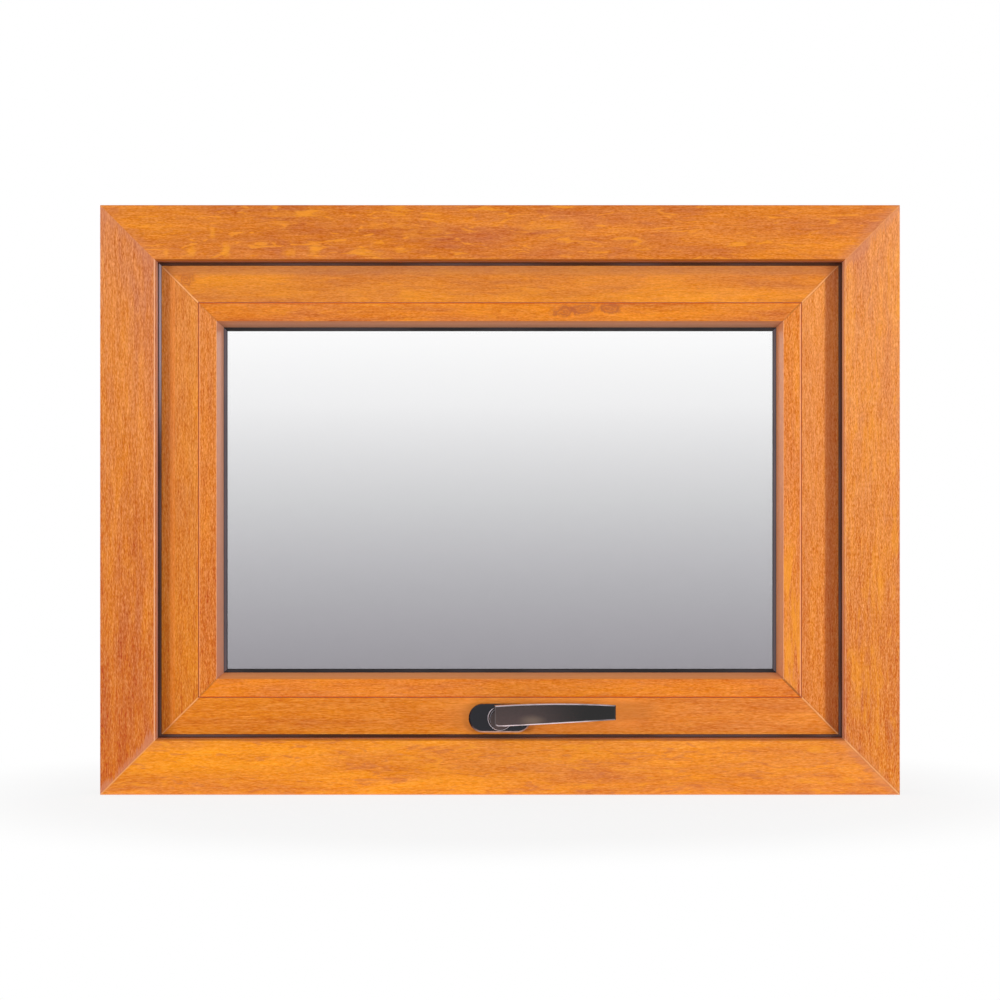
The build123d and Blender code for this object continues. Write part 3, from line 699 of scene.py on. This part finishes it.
def metal(name, colour, rough, brush):
    """Bare metal with fine marks. The brush is how many of them there are a metre along each axis."""
    look = Surface(name)
    brushed = look.noise(look.stretched(brush), 3.0, 0.6)
    blotches = look.spread(look.even_noise(45.0), -0.05, 0.05)
    shade = look.math("ADD", look.spread(brushed, 0.88, 1.04), blotches)
    return look.finish(look.principled(
        Base_Color=look.scaled(colour, shade),
        Metallic=1.0,
        Roughness=look.spread(brushed, rough - 0.07, rough + 0.07),
        Normal=look.bump(brushed, 0.12, 0.0001),
    ))


zinc = metal("zinc_steel_look", (0.60, 0.59, 0.55), 0.38, (350.0, 350.0, 350.0))
for node in (
    "handle_base", "handle_spindle", "handle_screws", "lock_gearbox", "lock_faceplate", "lock_rod",
    "sill_keeps",
):
    dress(node, zinc)
stainless = metal("stainless_look", (0.62, 0.62, 0.61), 0.3, (1200.0, 1200.0, 60.0))
for side in ("left", "right"):
    for part in ("track", "sash_bar", "long_arm", "short_arm"):
        dress(side + "_stay_" + part, stainless)
dress("spacer_bar", metal("spacer_look", (0.66, 0.66, 0.68), 0.3, (500.0, 500.0, 500.0)))


def plastic(name, colour, rough):
    look = Surface(name)
    mottle = look.even_noise(260.0, detail=3.0)
    return look.finish(look.principled(
        Base_Color=look.scaled(colour, look.spread(mottle, 0.88, 1.12)),
        Roughness=look.spread(mottle, rough - 0.05, rough + 0.05),
        Normal=look.bump(mottle, 0.08, 0.0001),
    ))


dress("drain_caps", plastic("drain_cap_look", linear(112, 62, 32), 0.42))
dress("setting_blocks", plastic("packer_look", (0.08, 0.2, 0.5), 0.5))


# The handle's planes, by their depth in metres, and the depth ranges of its bright edges
X_AXIS, Z_AXIS = 0, 2
ARM_FRONT = -0.053
ARM_BACK = -0.042
COLLAR_FRONT = -0.0219
ROSE_FRONT = -0.0195
ARM_STRIP = (ARM_FRONT + 0.0008, ARM_FRONT + 0.0018)
COLLAR_STRIP = (COLLAR_FRONT, COLLAR_FRONT + 0.0005)
ROSE_STRIP = (ROSE_FRONT, ROSE_FRONT + 0.0014)
# Below the arm the paint darkens over this range of depth, and along X one tone goes over into the
# other in this range. An edge shines once it faces an axis by this share.
ARM_SHADOW = (ARM_BACK - 0.004, ARM_BACK + 0.002)
TONE_CHANGE = (0.02, 0.09)
SHINE_FACING = (0.3, 0.5)
# Colours of the painted highlights on the handle's edges
LILAC = (0.97, 0.87, 0.95)
SHADOWED = (0.62, 0.52, 0.56)
FAINT = (0.1, 0.08, 0.085)
PALE_PINK = linear(240, 198, 182)
# The lever's black is browner toward the spindle and deeper toward its tip
SPINDLE_END_BLACK = (0.05, 0.031, 0.03)
TIP_END_BLACK = (0.004, 0.003, 0.003)
ROSE_BLACK = (0.02, 0.02, 0.046)
# Tone of the painted reflection on the lever's arm
GLOW_REFLECTION_TONE = (0.2, 0.14, 0.1)


def black_gloss(name, tones, shines, painted_glow=None):
    """Gloss black paint in two tones, toward the spindle and toward the lever's tip.

    A shine is a painted highlight on an edge: the axis and sign that it faces, the depth range of the
    bright strip, the range along X in which it is bright, how bright it stays outside that, and its
    colour. The painted glow is an ellipse of painted reflection: its middle, its half sizes and how
    much paler the paint is below it, a painted light gradient.
    """
    look = Surface(name)
    orange_peel = look.even_noise(420.0)
    tone = look.mix(look.span(look.x, *TONE_CHANGE), *tones)
    tone = look.scaled(tone, look.spread(orange_peel, 0.95, 1.05))
    tone = look.scaled(tone, look.span(look.y, *ARM_SHADOW, 1.0, 0.25))
    # Painted reflection: a warm pale ellipse on the arm, and a painted light gradient that makes the
    # paint paler below it
    if painted_glow:
        x, z, half_x, half_z, lift = painted_glow
        reach = look.ellipse(x, z, half_x, half_z, ragged=0.2, size=40.0, seed=2.0)
        tone = look.scaled(tone, look.span(look.z, z + 0.014, z - 0.006, 0.85, lift, "LINEAR"))
        tone = look.mix(look.product(look.span(reach, 1.2, 0.0), 0.6), tone, GLOW_REFLECTION_TONE)
    normals = look.normals()
    forward = look.span(look.product(normals[1], -1.0), *SHINE_FACING)
    # Painted highlights on edges, broken up at random
    highlight_breaks = look.span(look.even_noise(90.0), 0.3, 0.6, 0.6, 1.0)
    for axis, sign, (front, back), (low, high), rest, colour in shines:
        facing = look.span(look.product(normals[axis], sign), *SHINE_FACING)
        strip = look.band(look.y, (front + back) / 2, (back - front) / 2, 0.0002)
        along = look.band(look.x, (low + high) / 2, (high - low) / 2, 0.02)
        level = look.blend(along, rest, 1.0)
        tone = look.mix(look.product(facing, forward, strip, level, highlight_breaks), tone, colour)
    return look.finish(look.principled(
        Base_Color=tone,
        Roughness=look.spread(orange_peel, 0.1, 0.16),
        Normal=look.bump(orange_peel, 0.03, 0.0001),
        Specular_IOR_Level=0.35,
    ))


LEVER_SHINES = (
    (Z_AXIS, -1, ARM_STRIP, (0.0, 0.08), 0.3, LILAC),
    (Z_AXIS, 1, ARM_STRIP, (0.0, 0.1), 0.2, SHADOWED),
    (X_AXIS, -1, ARM_STRIP, (-0.01, 0.01), 0.0, FAINT),
    (X_AXIS, -1, COLLAR_STRIP, (-0.02, 0.0), 0.0, LILAC),
    (Z_AXIS, -1, COLLAR_STRIP, (-0.02, 0.002), 0.0, LILAC),
)
ROSE_SHINES = ((Z_AXIS, -1, ROSE_STRIP, (-0.014, 0.02), 0.0, PALE_PINK),)
dress("handle_lever", black_gloss(
    "handle_lever_look", (SPINDLE_END_BLACK, TIP_END_BLACK), LEVER_SHINES, (0.032, 0.076, 0.014, 0.006, 1.4)
))
dress("handle_rose", black_gloss("handle_rose_look", (ROSE_BLACK, ROSE_BLACK), ROSE_SHINES))

# Painted shade: the panes are tinted to let less light through toward their bottom. The tones are
# what white looks like through both panes, at shares of the height between these two heights in
# metres.
GLASS_BOTTOM = 0.11
GLASS_TOP = 0.485
GLASS_TONES = (
    (0.0, (150, 147, 153)),
    (0.25, (177, 176, 180)),
    (0.5, (208, 208, 210)),
    (0.75, (239, 239, 240)),
    (1.0, (255, 255, 255)),
)
# A ray crosses four faces of the two panes, so each face has the fourth root of the tone
FACE_SHARE = 0.25
GLASS_GLOSS = 0.25
GLASS_INDEX = 1.45


def glass(name):
    """Clear glass with painted shade that darkens it from the top to the bottom, and a weak reflection.
    """
    look = Surface(name)
    ramp = look.node("ValToRGB")
    look.put(ramp.inputs[0], look.span(look.z, GLASS_BOTTOM, GLASS_TOP, kind="LINEAR"))
    elements = ramp.color_ramp.elements
    while len(elements) < len(GLASS_TONES):
        elements.new(0.5)
    for element, (position, tone) in zip(elements, GLASS_TONES):
        element.position = position
        element.color = (*(value ** FACE_SHARE for value in linear(*tone)), 1.0)
    clear = look.node("BsdfTransparent")
    look.put(clear.inputs["Color"], ramp.outputs[0])
    gloss = look.node("BsdfGlossy")
    look.put(gloss.inputs["Roughness"], 0.0)
    fresnel = look.node("Fresnel")
    look.put(fresnel.inputs["IOR"], GLASS_INDEX)
    mirrored = look.product(fresnel.outputs[0], GLASS_GLOSS)
    return look.finish(look.mix_shaders(mirrored, clear.outputs[0], gloss.outputs[0]))


clear_glass = glass("clear_glass_look")
dress("inner_pane", clear_glass)
dress("outer_pane", clear_glass)

# Floor, light and camera
WHITE = (1.0, 1.0, 1.0)
FLOOR_GREY = (0.9, 0.9, 0.9)
FLOOR_HALF = 8.0
WORLD_LIGHT = 0.5


def floor_look():
    """A pale floor that keeps the window's shadow near it and is plain white farther off."""
    look = Surface("floor_look")
    length = look.node("VectorMath", operation="LENGTH")
    look.put(length.inputs[0], look.vector("MULTIPLY", look.place, (1.0, 1.0, 0.0)))
    far = look.span(length.outputs["Value"], 0.4, 0.65, 0.85, 1.0)
    matt = look.node("BsdfDiffuse")
    look.put(matt.inputs["Color"], FLOOR_GREY)
    white = look.node("Emission")
    look.put(white.inputs["Color"], WHITE)
    whitened = look.product(look.background_rays(), far)
    return look.finish(look.mix_shaders(whitened, matt.outputs[0], white.outputs[0]))


def floor_plane():
    mesh = bpy.data.meshes.new("floor")
    corners = [(x * FLOOR_HALF, y * FLOOR_HALF, 0.0) for x, y in ((-1, -1), (1, -1), (1, 1), (-1, 1))]
    mesh.from_pydata(corners, [], [(0, 1, 2, 3)])
    mesh.materials.append(floor_look())
    floor = bpy.data.objects.new("floor", mesh)
    bpy.context.collection.objects.link(floor)
    return floor


def world_look():
    """A white background that lights the object at half its strength."""
    look = Graph(bpy.data.worlds.new("studio"), "OutputWorld")
    back = look.node("Background")
    look.put(back.inputs["Color"], WHITE)
    look.put(back.inputs["Strength"], look.blend(look.background_rays(), WORLD_LIGHT, 1.0))
    return look.finish(back.outputs[0])


def soft_light(name, place, width, height, power):
    """A rectangular lamp that faces the middle of the window's room side."""
    data = bpy.data.lights.new(name, "AREA")
    data.shape = "RECTANGLE"
    data.size = width
    data.size_y = height
    data.energy = power
    lamp = bpy.data.objects.new(name, data)
    bpy.context.collection.objects.link(lamp)
    aim = Vector((0.0, ROOM_FACE, HEIGHT / 2))
    lamp.location = place
    lamp.rotation_euler = (aim - Vector(place)).to_track_quat("-Z", "Y").to_euler()


floor_plane()
bpy.context.scene.world = world_look()
soft_light("left_light", (-2.5, -3.0, 0.21), 1.2, 0.38, 49.0)
soft_light("right_light", (2.5, -3.0, 0.21), 1.2, 0.38, 50.5)
soft_light("back_left_light", (-2.4, 3.0, 1.0), 1.0, 1.0, 26.0)
soft_light("back_right_light", (2.4, 3.0, 1.0), 1.0, 1.0, 26.0)
soft_light("top_light", (0.0, -2.7, 1.65), 1.6, 0.5, 1.5)

CAMERA_DISTANCE = 3.0
camera_data = bpy.data.cameras.new("camera")
camera_data.sensor_width = 36.0
camera_data.lens = 108.0
camera = bpy.data.objects.new("camera", camera_data)
camera.location = (0.0, ROOM_FACE - CAMERA_DISTANCE, HEIGHT / 2)
camera.rotation_euler = (math.radians(90.0), 0.0, 0.0)
bpy.context.collection.objects.link(camera)
bpy.context.scene.camera = camera
bpy.context.scene.view_settings.view_transform = "Standard"
